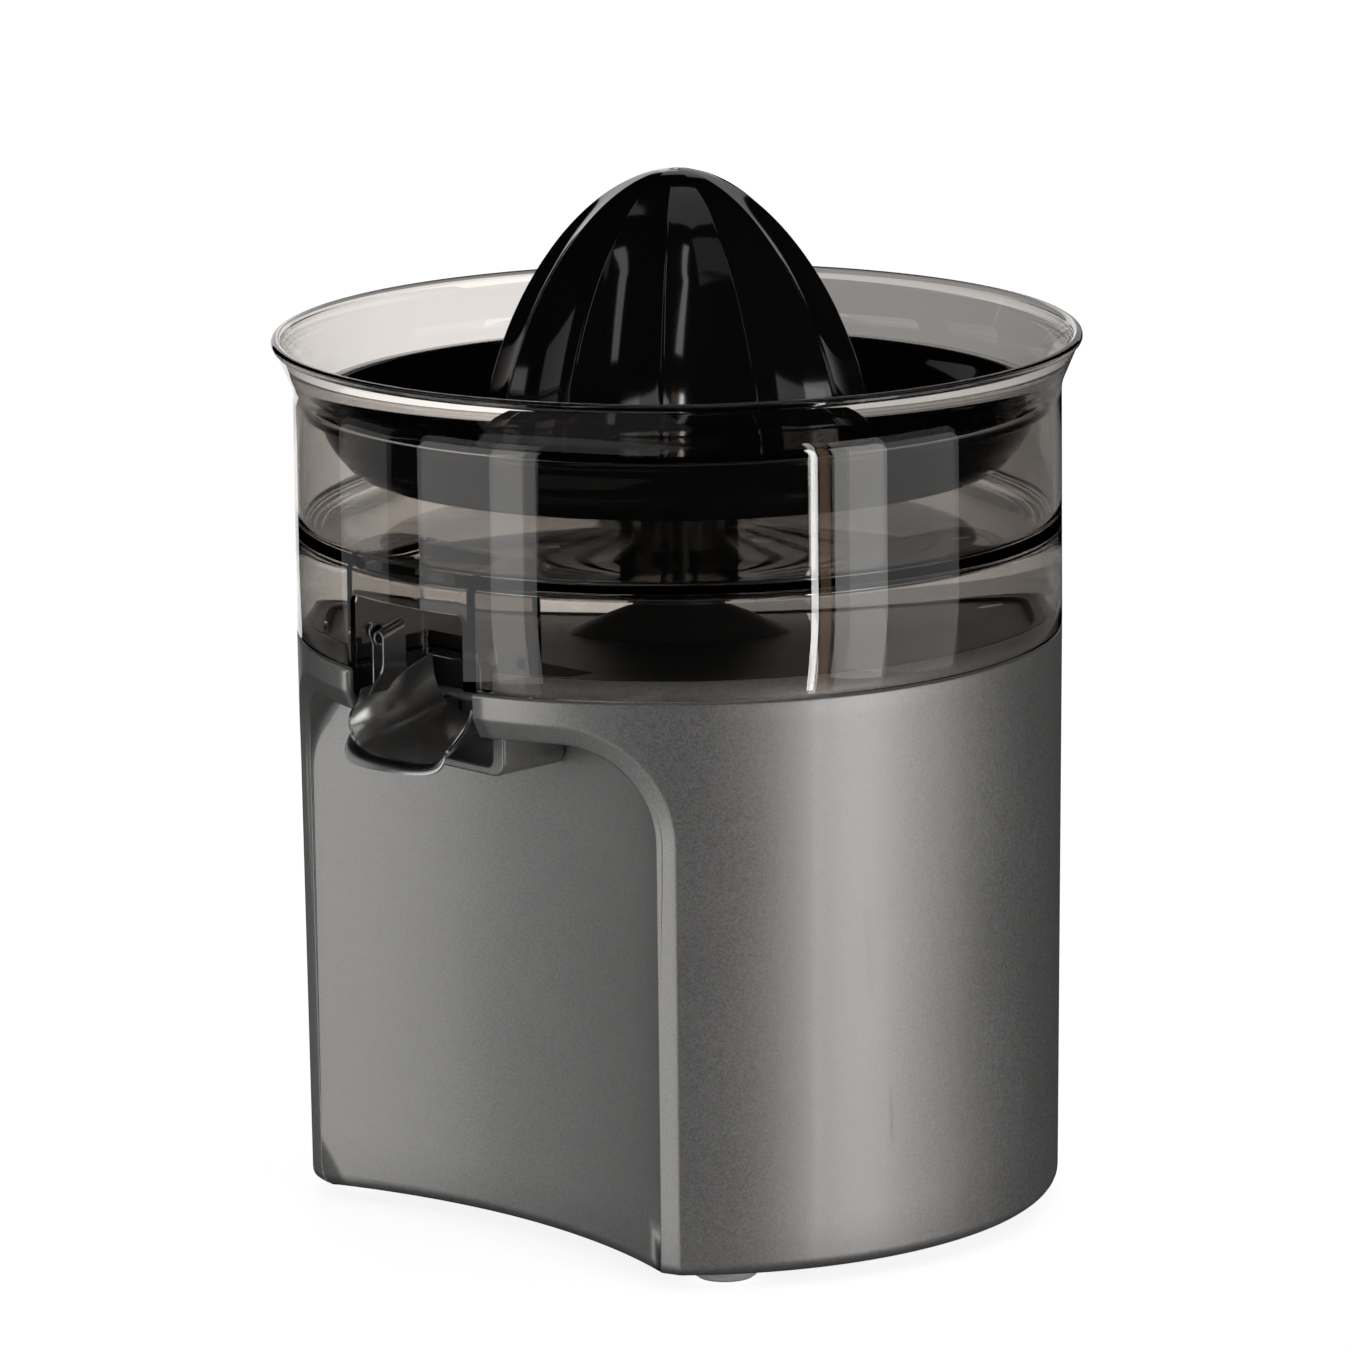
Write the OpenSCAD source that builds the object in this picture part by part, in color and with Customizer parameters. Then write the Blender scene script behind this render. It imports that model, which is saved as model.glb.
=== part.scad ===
// Electric citrus press: motor base with a tumbler bay, smoked juice bowl, strainer, pressing cone
// and a tilting steel spout. Millimetres. The origin is on the cone's axis at the bottom of the
// feet, +Z is up, and the spout and tumbler bay face -Y.

/* [Body] */
// Radius of the painted body at the seam under the bowl
body_r = 82.5; // [81.5:0.5:83.5]
// Radius of the body at its bottom edge
body_foot_r = 81.4; // [80.9:0.1:81.6]
// Height of the seam between body and bowl
seam_z = 126.6; // [126:0.2:128]
// Thickness of the body's wall
body_wall = 2.4; // [2:0.2:2.6]
// Height of the feet under the body
foot_h = 3; // [2.6:0.2:3.4]

/* [Tumbler bay] */
// Radius of the hollow back wall of the bay, seen from above
bay_wall_r = 165; // [163:1:175]
// Distance from the axis to the middle of the bay's back wall
bay_wall_y = 51; // [50:0.5:52]
// Height of the top edge of the bay's bevel
bay_top_z = 121.4; // [120.8:0.2:122]
// Half width of the bay, measured round the body
bay_half = 63.8; // [62.8:0.2:64.2]
// Width of the bevel round the bay
bevel_w = 4.3; // [3.9:0.1:4.5]

/* [Bowl and strainer] */
// Radius of the bowl's lip
rim_r = 87; // [86:0.5:88]
// Height of the bowl's lip
rim_z = 190.5; // [189.5:0.5:191.5]
// Thickness of the bowl's wall
bowl_wall = 1.9; // [1.7:0.1:2]
// Number of juice slots in the strainer
slots = 24; // [16:2:28]

/* [Cone] */
// Radius of the cone's bottom edge
cone_r = 42.5; // [41:0.5:44]
// Height of the cone's tip
cone_top = 225.7; // [222:0.5:228]
// Number of ribs round the cone
ribs = 12; // [9:3:15]

/* [Drive] */
// Teeth on the motor's pinion
pinion_teeth = 10; // [10:1:10]
// Teeth on the big wheel of the idler
idler_big_teeth = 40; // [40:1:40]
// Teeth on the small wheel of the idler
idler_small_teeth = 12; // [12:1:12]
// Teeth on the wheel of the drive shaft
output_teeth = 48; // [48:1:48]
// Radius of the drive shaft
shaft_r = 4; // [3.8:0.1:4]

/* [Hidden] */
$fn = 96;

tiny = 0.01;
paint = [0.42, 0.41, 0.40];
black = [0.07, 0.07, 0.08];
steel = [0.72, 0.72, 0.70];
smoke = [0.30, 0.28, 0.26, 0.45];
nylon = [0.92, 0.91, 0.87];
brass = [0.80, 0.65, 0.32];

// body
edge_r = 3;
neck_r = body_r - 2.5;
neck_top = seam_z + 4.6;
bay_corner = 25.5;
bevel_depth = 2;
bay_half_x = 19.3;
neck_gap = 22.4;
cradle_half = 17.8;
cradle_wall = 3.6;
cradle_front = 70;
cradle_z = 106.6;
cradle_floor = 2;
chute_back = 53;
screw_hole_r = 1.5;
base_boss = [[71.5, 2], [-71.5, 2], [44, 56.5], [-44, 56.5]];
deck_boss = [[66, 24], [-66, 24], [34, 61], [-34, 61]];
foot_pos = [[54, -42], [-54, -42], [54, 42], [-54, 42]];
plate_z = foot_h + 0.4;
plate_t = 2.6;
pillar_pos = [[-38, -16], [28, -22], [-34, 46], [34, 46]];
gland_z = 22;

// drive train
module_mm = 1;
motor_pos = [0, 25];
idler_pos = [24, 18];
tray_z = 76;
tray_t = 3;
cover_z = 108;
cover_t = 3;
post_pos = [[-32, 28], [40, -14], [-26, -22], [14, 48]];
run_gap = 0.05;
motor_r = 22;
motor_bottom = 22;
level_one = 80;
level_two = 95;
wheel_t = 6;
cup_z = 90;
shaft_bottom = 79.5;
shaft_top = 190;
key_bottom = 166;
key_flats = 12;

// deck and tower
deck_t = 3;
tower_r = 9.8;
tower_bore = 7.6;
tower_top = 158;

// bowl
bowl_in = body_r - bowl_wall;
bowl_bottom = seam_z + 0.3;
flare_z = 179;
floor_z = 148.7;
floor_rise = 5;
floor_t = 2.4;
chimney_r = 12.5;
chimney_wall = 1.9;
chimney_top = 166;
notch_half = 17.1;
notch_top = 143;
chute_wall = 2;
chute_depth = 58;
pin_y = -74;
pin_z = 134;
pin_r = 1.5;

// strainer and cone
strainer_z = 162.8;
strainer_r = 71.4;
strainer_t = 1.8;
strainer_rim_z = 175.2;
strainer_rim_r = 80.2;
collar_r = 13.3;
cone_z = 168.5;
cone_wall = 2.2;
socket_r = 9.2;
socket_z = 168.8;
cone_rings = 18;
rib_steps = 8;

// angle of the line from point a to point b
function heading(a, b) = atan2(b[1] - a[1], b[0] - a[0]);

// ---- shared shapes ----

// A block given by its lowest and highest corners
module block(low, high) {
    translate(low)
        cube(high - low);
}

// A tube along Z
module tube(outer, inner, low, high) {
    difference() {
        translate([0, 0, low])
            cylinder(r = outer, h = high - low);
        translate([0, 0, low - 1])
            cylinder(r = inner, h = high - low + 2);
    }
}

// One copy of the children at each plan position
module at_each(places) {
    for (p = places)
        translate([p[0], p[1], 0])
            children();
}

// A pan-head screw with its head's underside at z, its shank pointing along -Z
module screw(z, length, shank = 1.4, head = 2.9, head_h = 1.8) {
    difference() {
        union() {
            translate([0, 0, z - length])
                cylinder(r = shank, h = length + tiny, $fn = 32);
            translate([0, 0, z])
                cylinder(r = head, h = head_h, $fn = 32);
        }
        for (turn = [0, 90])
            translate([0, 0, z + head_h])
                rotate([0, 0, turn])
                    cube([2.8, 0.7, 1.6], center = true);
    }
}

// ---- gears ----

// Half angle of a tooth at radius r, thinned a little for backlash
function half_tooth(teeth, r) = let(
    pitch = teeth * module_mm / 2,
    base = pitch * cos(20),
    at = acos(min(1, base / r)),
    inv_at = tan(at) * 180 / PI - at,
    inv_20 = tan(20) * 180 / PI - 20
) 90 / teeth + inv_20 - inv_at - 6.2 / pitch;

function tooth_points(teeth, addendum = 0.8) = let(
    pitch = teeth * module_mm / 2,
    base = pitch * cos(20),
    root = pitch - 1.15 * module_mm,
    tip = pitch + addendum * module_mm,
    start = max(base, root) + 0.05,
    foot = half_tooth(teeth, start) * (root < base ? 0.72 : 1.04),
    radii = [for (i = [0:4]) start + (tip - start) * i / 4]
) concat(
    [[root, -foot]],
    [for (r = radii) [r, -half_tooth(teeth, r)]],
    [for (i = [4:-1:0]) [radii[i], half_tooth(teeth, radii[i])]],
    [[root, foot]]
);

// A spur gear lying on z, with a tooth centred on the direction "phase"
module gear(teeth, phase, z, thickness, bore) {
    flank = tooth_points(teeth);
    outline = [for (i = [0:teeth - 1], p = flank)
        let(a = phase + 360 * i / teeth + p[1]) [p[0] * cos(a), p[0] * sin(a)]];
    translate([0, 0, z])
        difference() {
            linear_extrude(thickness)
                polygon(outline);
            translate([0, 0, -1])
                cylinder(r = bore, h = thickness + 2);
        }
}

// ---- the tumbler bay ----

// Outline of the bay's arch, measured round the body and up, shrunk by "inset"
function arch(inset) = let(
    half = bay_half - inset,
    top = bay_top_z - inset,
    rad = bay_corner - inset,
    low = foot_h - 2
) concat(
    [[half, low]],
    [for (i = [0:10]) [half - rad + rad * cos(i * 9), top - rad + rad * sin(i * 9)]],
    [for (i = [1:9]) [(half - rad) * (1 - i / 5), top]],
    [for (i = [10:-1:0]) [rad - half - rad * cos(i * 9), top - rad + rad * sin(i * 9)]],
    [[-half, low]]
);

// The arch bent round a cylinder of radius r
function arch_on(inset, r) = [for (p = arch(inset))
    let(a = p[0] / body_r * 180 / PI) [r * sin(a), -r * cos(a), p[1]]];

// Faces of a strip of rings that each hold "count" points, closed at both ends
function strip_faces(rings, count) = concat(
    [for (i = [0:rings - 1], j = [0:count - 2])
        let(k = (i + 1) % rings) [i * count + j, i * count + j + 1, k * count + j + 1]],
    [for (i = [0:rings - 1], j = [0:count - 2])
        let(k = (i + 1) % rings) [i * count + j, k * count + j + 1, k * count + j]],
    [[for (i = [0:rings - 1]) i * count]],
    [[for (i = [rings - 1:-1:0]) i * count + count - 1]]
);

// The wedge that bevels the edge of the arch
module bay_bevel() {
    slope = bevel_depth / bevel_w;
    out = arch_on(-1.2, body_r + 1.2 * slope);
    inner = arch_on(bevel_w + 0.4, body_r - bevel_depth - 0.4 * slope);
    front = 95;
    far_out = [for (p = out) [p[0], -front, p[2]]];
    far_in = [for (p = inner) [p[0], -front, p[2]]];
    polyhedron(concat(far_out, out, inner, far_in), strip_faces(4, len(out)), convexity = 6);
}

// Everything inside the arch as far back as the hollow wall, moved back by "grow"
module bay_space(grow) {
    outline = [for (p = arch(bevel_w - grow))
        [(body_r - bevel_depth) * sin(p[0] / body_r * 180 / PI), p[1]]];
    intersection() {
        rotate([90, 0, 0])
            linear_extrude(100)
                polygon(outline);
        translate([0, -bay_wall_y - bay_wall_r, -5])
            cylinder(r = bay_wall_r + grow, h = 150, $fn = 200);
    }
}

// ---- body ----

module body_form() {
    arc = [for (i = [0:5]) [body_foot_r - edge_r + edge_r * sin(i * 18),
        foot_h + edge_r - edge_r * cos(i * 18)]];
    rotate_extrude()
        polygon(concat([[0, foot_h]], arc, [[body_r, seam_z], [neck_r, seam_z],
            [neck_r, neck_top], [0, neck_top]]));
}

module body_hollow() {
    rotate_extrude()
        polygon([[0, foot_h - 1], [body_foot_r - body_wall - 0.4, foot_h - 1],
            [body_r - body_wall, seam_z - 4], [neck_r - body_wall, seam_z - 1],
            [neck_r - body_wall, neck_top + 1], [0, neck_top + 1]]);
}

// Rounded channel outline, widest "half", from z low to z high
module channel_outline(half, low, high, rad) {
    translate([-half, low + rad])
        square([2 * half, high - low - rad]);
    translate([-half + rad, low])
        square([2 * (half - rad), rad + tiny]);
    for (side = [-1, 1])
        translate([side * (half - rad), low + rad])
            circle(r = rad, $fn = 32);
}

module along_y(front, back) {
    translate([0, -back, 0])
        rotate([90, 0, 0])
            linear_extrude(front - back)
                children();
}

// A screw boss joined to the round wall by a rib
module wall_boss(place, low, high, reach) {
    turn = atan2(place[1], place[0]);
    distance = norm(place);
    rotate([0, 0, turn]) {
        translate([distance, 0, low])
            cylinder(r = 4, h = high - low, $fn = 48);
        block([distance, -1.2, low], [reach, 1.2, high]);
    }
}

module body_shell() {
    color(paint) {
        difference() {
            body_form();
            bay_space(0);
            bay_bevel();
            difference() {
                body_hollow();
                bay_space(body_wall);
                // walls that close the spout's pocket from the inside
                block([-neck_gap - body_wall, -90, bay_top_z - 4],
                    [neck_gap + body_wall, body_wall - chute_back, neck_top]);
            }
            // pocket for the bowl's chute, open at the front and on top
            intersection() {
                block([-neck_gap, -90, bay_top_z - 1.9], [neck_gap, -chute_back, neck_top + 1]);
                cylinder(r = neck_r - 0.4, h = 200);
            }
            block([-neck_gap, -90, seam_z], [neck_gap, -chute_back, neck_top + 1]);
            block([-bay_half_x, -90, bay_top_z - 8], [bay_half_x, -cradle_front, seam_z + 1]);
            along_y(90, chute_back + 2)
                channel_outline(cradle_half - cradle_wall, cradle_z + cradle_floor, seam_z, 1.6);
            // round hole for the cord's gland
            translate([0, 60, gland_z])
                rotate([-90, 0, 0])
                    cylinder(r = 5.2, h = 40, $fn = 48);
        }
        difference() {
            along_y(cradle_front, bay_wall_y + 1)
                channel_outline(cradle_half, cradle_z, bay_top_z - 3, 3.5);
            along_y(90, chute_back + 2)
                channel_outline(cradle_half - cradle_wall, cradle_z + cradle_floor, seam_z, 1.6);
        }
        for (p = base_boss)
            difference() {
                wall_boss(p, plate_z + plate_t + 0.1, 22, body_foot_r - 1.2);
                translate([p[0], p[1], 0])
                    cylinder(r = screw_hole_r, h = 19, $fn = 32);
            }
        for (p = deck_boss)
            difference() {
                wall_boss(p, 104, seam_z - 0.1, neck_r - 1);
                translate([p[0], p[1], 112])
                    cylinder(r = screw_hole_r, h = 20, $fn = 32);
            }
    }
}

// ---- bottom ----

module plan_of_base(inset) {
    difference() {
        circle(r = body_foot_r - body_wall - 0.8 - inset);
        translate([0, -bay_wall_y - bay_wall_r])
            circle(r = bay_wall_r + body_wall + 0.4 + inset, $fn = 200);
    }
}

module base_plate() {
    color(black)
        difference() {
            union() {
                translate([0, 0, plate_z])
                    linear_extrude(plate_t)
                        plan_of_base(0);
                at_each(pillar_pos)
                    translate([0, 0, plate_z])
                        cylinder(r = 4, h = tray_z - plate_z - 0.05, $fn = 48);
            }
            at_each(base_boss) {
                translate([0, 0, plate_z - 1])
                    cylinder(r = 1.7, h = 10, $fn = 32);
                translate([0, 0, plate_z - tiny])
                    cylinder(r = 3.2, h = 1.2, $fn = 32);
            }
            at_each(foot_pos)
                translate([0, 0, plate_z - 1])
                    cylinder(r = 3, h = 6, $fn = 32);
            at_each(pillar_pos)
                translate([0, 0, tray_z - 14])
                    cylinder(r = screw_hole_r, h = 20, $fn = 32);
            // vents under the motor
            for (i = [-3:3])
                block([-18, 24.2 + i * 5, plate_z - 1], [18, 26.2 + i * 5, plate_z + plate_t + 1]);
        }
}

module feet() {
    color(nylon)
        at_each(foot_pos)
            rotate_extrude($fn = 48)
                polygon([[0, 0], [6, 0], [6.7, 0.5], [6.9, 1.2], [6.9, foot_h - 0.4],
                    [6.4, plate_z - 0.05], [2.9, plate_z - 0.05], [2.9, plate_z + plate_t + 0.2],
                    [3.6, plate_z + plate_t + 0.3], [2.4, plate_z + plate_t + 2.4],
                    [0, plate_z + plate_t + 2.4]]);
}

module base_screws() {
    color(steel)
        at_each(base_boss)
            translate([0, 0, plate_z + 1.1])
                mirror([0, 0, 1])
                    screw(0, 12, head_h = 1);
}

// ---- deck ----

module top_deck() {
    color(black)
        difference() {
            union() {
                translate([0, 0, seam_z])
                    cylinder(r = neck_r - body_wall - 0.3, h = deck_t);
                // shoulder and tower round the drive shaft
                rotate_extrude()
                    polygon([[0, seam_z], [24, seam_z], [24, seam_z + deck_t], [22, seam_z + 5],
                        [15, seam_z + 12], [tower_r + 0.6, seam_z + 16], [tower_r, seam_z + 19],
                        [tower_r, tower_top - 1], [tower_r - 1, tower_top], [0, tower_top]]);
                translate([0, 0, seam_z + deck_t - tiny])
                    tube(neck_r - body_wall - 0.3, neck_r - body_wall - 2.3, 0, 1.6);
            }
            translate([0, 0, seam_z - 1])
                cylinder(r = tower_bore, h = 60);
            rotate_extrude()
                polygon([[0, seam_z - 1], [21.5, seam_z - 1], [21.5, seam_z + 1],
                    [13, seam_z + 9.5], [tower_bore, seam_z + 12], [0, seam_z + 12]]);
            block([-neck_gap - body_wall - 0.4, -90, seam_z - 1],
                [neck_gap + body_wall + 0.4, body_wall + 0.4 - chute_back, seam_z + 20]);
            at_each(deck_boss) {
                translate([0, 0, seam_z - 1])
                    cylinder(r = 1.7, h = 10, $fn = 32);
                translate([0, 0, seam_z + 1.6])
                    cylinder(r = 3.3, h = 10, $fn = 32);
            }
        }
}

module deck_screws() {
    color(steel)
        at_each(deck_boss)
            screw(seam_z + 1.65, 12, head_h = 1.3);
}

module tower_bush() {
    color(brass)
        tube(tower_bore - 0.02, shaft_r + run_gap, tower_top - 14, tower_top - 3.2);
}

module shaft_seal() {
    color(black)
        tube(tower_bore - 0.02, shaft_r + 0.35, tower_top - 3.1, tower_top - 0.4);
}

// ---- cord inlet ----

module cord_gland() {
    color(black)
        translate([0, 0, gland_z])
            rotate([-90, 0, 0]) {
                tube(5.15, 3.2, body_foot_r - 6, body_r + 1.4);
                tube(6.8, 3.2, body_r - 0.7, body_r + 1.4);
            }
}

module cord_clamp() {
    color(black)
        difference() {
            block([-14, 62, plate_z + plate_t + 0.05], [14, 69, gland_z + 5]);
            translate([0, 50, gland_z])
                rotate([-90, 0, 0])
                    cylinder(r = 3.2, h = 30, $fn = 48);
            block([-20, 60, gland_z - 0.4], [-4.5, 80, gland_z + 0.4]);
            block([4.5, 60, gland_z - 0.4], [20, 80, gland_z + 0.4]);
        }
}

// ---- gear train ----

module gear_tray() {
    color(steel)
        difference() {
            translate([0, 0, tray_z])
                linear_extrude(tray_t)
                    difference() {
                        translate([-46, -28])
                            square([92, 82]);
                        for (x = [-46, 46], y = [-28, 54])
                            translate([x, y])
                                rotate(45)
                                    square(14, center = true);
                    }
            at_each(pillar_pos)
                translate([0, 0, tray_z - 1])
                    cylinder(r = 1.7, h = 10, $fn = 32);
            at_each(post_pos)
                translate([0, 0, tray_z - 1])
                    cylinder(r = 1.7, h = 10, $fn = 32);
            at_each([motor_pos])
                translate([0, 0, tray_z - 1]) {
                    cylinder(r = 5.5, h = 10);
                    for (x = [-13, 13])
                        translate([x, 0, 0])
                            cylinder(r = 1.7, h = 10, $fn = 32);
                }
            at_each([idler_pos])
                translate([0, 0, tray_z - 1])
                    cylinder(r = 2.5, h = 10, $fn = 48);
            translate([0, 0, tray_z - 1])
                cylinder(r = 5, h = 10, $fn = 48);
        }
}

module gear_cover() {
    color(steel)
        difference() {
            translate([0, 0, cover_z])
                linear_extrude(cover_t)
                    polygon([[-38, 22], [-30, -28], [-14, -28], [44, -20], [46, -6],
                        [38, 34], [20, 54], [8, 54], [-32, 35]]);
            at_each(post_pos)
                translate([0, 0, cover_z - 1])
                    cylinder(r = 1.7, h = 10, $fn = 32);
            at_each([idler_pos])
                translate([0, 0, cover_z - 1])
                    cylinder(r = 2.5, h = 10, $fn = 48);
            translate([0, 0, cover_z - 1])
                cylinder(r = 7, h = 10);
        }
}

module gear_pillars() {
    color(steel)
        at_each(post_pos)
            tube(3.5, screw_hole_r, tray_z + tray_t, cover_z);
}

// Screws through the cover into the pillars, and through the tray into the base
module gear_screws() {
    color(steel) {
        at_each(post_pos)
            screw(cover_z + cover_t, 10);
        at_each(pillar_pos)
            screw(tray_z + tray_t, 10);
        at_each(post_pos)
            translate([0, 0, tray_z])
                mirror([0, 0, 1])
                    screw(0, 9);
    }
}

module lower_bush() {
    color(brass) {
        tube(4.95, shaft_r + run_gap, tray_z, tray_z + tray_t + 6);
    }
}

module upper_bush() {
    color(brass) {
        tube(6.98, shaft_r + run_gap, cover_z - 1, cover_z + cover_t + 2);
    }
}

module motor_can() {
    color(steel)
        at_each([motor_pos])
            difference() {
                translate([0, 0, motor_bottom])
                    cylinder(r = motor_r, h = 50);
                translate([0, 0, motor_bottom + 1.5])
                    cylinder(r = motor_r - 1.5, h = 60);
                translate([0, 0, motor_bottom - 1])
                    cylinder(r = 5, h = 10, $fn = 48);
            }
}

module motor_magnets() {
    color([0.25, 0.25, 0.27])
        at_each([motor_pos])
            for (side = [0, 180])
                rotate([0, 0, side - 65])
                    translate([0, 0, motor_bottom + 8])
                        rotate_extrude(angle = 130)
                            translate([16, 0])
                                square([4.4, 34]);
}

module motor_end_cap() {
    color(black)
        at_each([motor_pos])
            difference() {
                union() {
                    translate([0, 0, motor_bottom + 50.05])
                        cylinder(r = motor_r, h = tray_z - motor_bottom - 50.1);
                    translate([0, 0, motor_bottom + 46])
                        cylinder(r = motor_r - 1.6, h = 5);
                }
                translate([0, 0, motor_bottom + 40])
                    cylinder(r = 5, h = 30, $fn = 48);
                for (x = [-13, 13])
                    translate([x, 0, motor_bottom + 47])
                        cylinder(r = screw_hole_r, h = 20, $fn = 32);
            }
}

module motor_brushes() {
    color([0.2, 0.2, 0.2])
        at_each([motor_pos])
            for (side = [-1, 1])
                translate([side * 8.6, 0, motor_bottom + 42.8])
                    cube([6, 4, 5], center = true);
}

module motor_bushes() {
    color(brass)
        at_each([motor_pos]) {
            tube(4.98, 1.55, motor_bottom, motor_bottom + 4);
            tube(4.98, 1.55, motor_bottom + 47, motor_bottom + 52);
        }
}

module motor_screws() {
    color(steel)
        at_each([[motor_pos[0] - 13, motor_pos[1]], [motor_pos[0] + 13, motor_pos[1]]])
            screw(tray_z + tray_t, 6, head = 2.5, head_h = 0.9);
}

module motor_shaft() {
    color(steel)
        at_each([motor_pos])
            translate([0, 0, motor_bottom + 0.5])
                cylinder(r = 1.5, h = level_one + wheel_t + 1 - motor_bottom - 0.5, $fn = 48);
}

// Laminated core with five poles and its windings
module motor_armature() {
    color([0.55, 0.33, 0.18])
        at_each([motor_pos]) {
            difference() {
                translate([0, 0, motor_bottom + 9])
                    cylinder(r = 14.5, h = 28);
                for (i = [0:4])
                    rotate([0, 0, i * 72])
                        block([9, -1.2, motor_bottom], [16, 1.2, motor_bottom + 50]);
                translate([0, 0, motor_bottom])
                    cylinder(r = 1.5, h = 50, $fn = 48);
            }
            tube(10.5, 1.5, motor_bottom + 6.5, motor_bottom + 9.1);
            tube(10.5, 1.5, motor_bottom + 36.9, motor_bottom + 38.8);
        }
}

module motor_commutator() {
    color(brass)
        at_each([motor_pos])
            tube(5.3, 1.5, motor_bottom + 39.5, motor_bottom + 46);
}

module motor_pinion() {
    color(brass)
        at_each([motor_pos])
            gear(pinion_teeth, heading(motor_pos, idler_pos) + 180 / pinion_teeth,
                level_one - 0.5, wheel_t + 1, 1.5);
}

module idler_axle() {
    color(steel)
        at_each([idler_pos])
            translate([0, 0, tray_z])
                cylinder(r = 2.48, h = cover_z + cover_t - tray_z, $fn = 48);
}

module idler_wheel() {
    color(nylon)
        at_each([idler_pos]) {
            gear(idler_big_teeth, heading(idler_pos, motor_pos), level_one, wheel_t, 2.55);
            gear(idler_small_teeth, heading(idler_pos, [0, 0]) + 180 / idler_small_teeth,
                level_one + wheel_t - tiny, 105 - level_one - wheel_t, 2.55);
        }
}

module output_wheel() {
    color(nylon) {
        gear(output_teeth, heading([0, 0], idler_pos), level_two, wheel_t, shaft_r + 0.02);
        tube(8, shaft_r + 0.02, cup_z + 3.1, level_two + wheel_t + 2);
    }
}

// ---- shaft, press spring and switch ----

module drive_shaft() {
    color(steel)
        difference() {
            translate([0, 0, shaft_bottom])
                cylinder(r = shaft_r, h = shaft_top - shaft_bottom);
            tube(shaft_r + 2, shaft_r - 0.8, 103.2, 104.2);
        }
}

module retaining_clip() {
    color(steel)
        difference() {
            tube(6.4, shaft_r - 0.75, 103.25, 104.15);
            block([0, -2.4, 100], [10, 2.4, 110]);
        }
}

// Six-sided key that turns the cone
module drive_key() {
    color(black)
        difference() {
            translate([0, 0, key_bottom])
                cylinder(r = key_flats / 2 / cos(30), h = shaft_top + 2 - key_bottom, $fn = 6);
            translate([0, 0, key_bottom - 1])
                cylinder(r = shaft_r + 0.02, h = shaft_top + 0.2 - key_bottom + 1);
        }
}

// Centre line of the coil spring, and one ring of the wire round it
spring_turns = 4;
spring_steps = 16;
spring_low = tray_z + tray_t + 0.6;
spring_high = cup_z - 0.6;
function coil(i) = let(a = i * 360 / spring_steps, share = i / (spring_turns * spring_steps))
    [6.3 * cos(a), 6.3 * sin(a), spring_low + (spring_high - spring_low) * share];
function wire_ring(i) = let(a = i * 360 / spring_steps, c = coil(i))
    [for (j = [0:5]) c + 0.5 * [cos(a) * cos(j * 60), sin(a) * cos(j * 60), sin(j * 60)]];

module return_spring() {
    count = spring_turns * spring_steps;
    points = [for (i = [0:count], p = wire_ring(i)) p];
    sides = [for (i = [0:count - 1], j = [0:5])
        let(k = (j + 1) % 6) [i * 6 + j, (i + 1) * 6 + j, (i + 1) * 6 + k, i * 6 + k]];
    ends = [[for (j = [0:5]) j], [for (j = [5:-1:0]) count * 6 + j]];
    color(steel)
        polyhedron(points, concat(sides, ends), convexity = 10);
}

// Cup between spring and wheel, with the arm that works the switch
module thrust_cup() {
    color(nylon)
        difference() {
            union() {
                translate([0, 0, cup_z])
                    cylinder(r = 8, h = 3);
                block([-17, -2.5, cup_z + 1], [-5, 2.5, cup_z + 3]);
            }
            translate([0, 0, cup_z - 1])
                cylinder(r = shaft_r + run_gap, h = 6);
        }
}

module switch_body() {
    color(black)
        difference() {
            block([-31, -3.2, tray_z + tray_t], [-11, 3.2, tray_z + tray_t + 9]);
            translate([-14.5, 0, tray_z + tray_t + 5])
                cylinder(r = 1.5, h = 10, $fn = 32);
            for (x = [-28.5, -18.5])
                translate([x, 10, tray_z + tray_t + 3])
                    rotate([90, 0, 0])
                        cylinder(r = 1.2, h = 20, $fn = 32);
        }
}

module switch_plunger() {
    color(nylon)
        translate([-14.5, 0, tray_z + tray_t + 8])
            cylinder(r = 1.4, h = cup_z + 0.9 - tray_z - tray_t - 8, $fn = 32);
}

// Rectifier board on edge beside the motor, with its terminal block and capacitor
module circuit_board() {
    color([0.15, 0.35, 0.2])
        block([-52, 4, plate_z + plate_t + 0.05], [-50.4, 38, 36]);
    color([0.2, 0.4, 0.65])
        block([-50.4, 10, 10], [-42, 26, 20]);
    color([0.75, 0.6, 0.2])
        translate([-50.4, 33, 24])
            rotate([0, 90, 0])
                cylinder(r = 4.5, h = 9, $fn = 48);
}

// ---- bowl ----

// Section of the bowl's wall: straight skirt, flare and rolled lip
module bowl_section() {
    lip = 1.1;
    polygon(concat(
        [[bowl_in, bowl_bottom + 0.6], [bowl_in + 0.5, bowl_bottom], [body_r - 0.4, bowl_bottom],
            [body_r, bowl_bottom + 0.4], [body_r, flare_z], [body_r + 0.6, flare_z + 2]],
        [for (i = [0:6]) [rim_r - lip + lip * cos(-60 + i * 30),
            rim_z - lip + lip * sin(-60 + i * 30)]],
        [[rim_r - 2.2, rim_z - 0.9], [bowl_in + 1, flare_z + 4.6], [bowl_in, flare_z + 2.6]]
    ));
}

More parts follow.
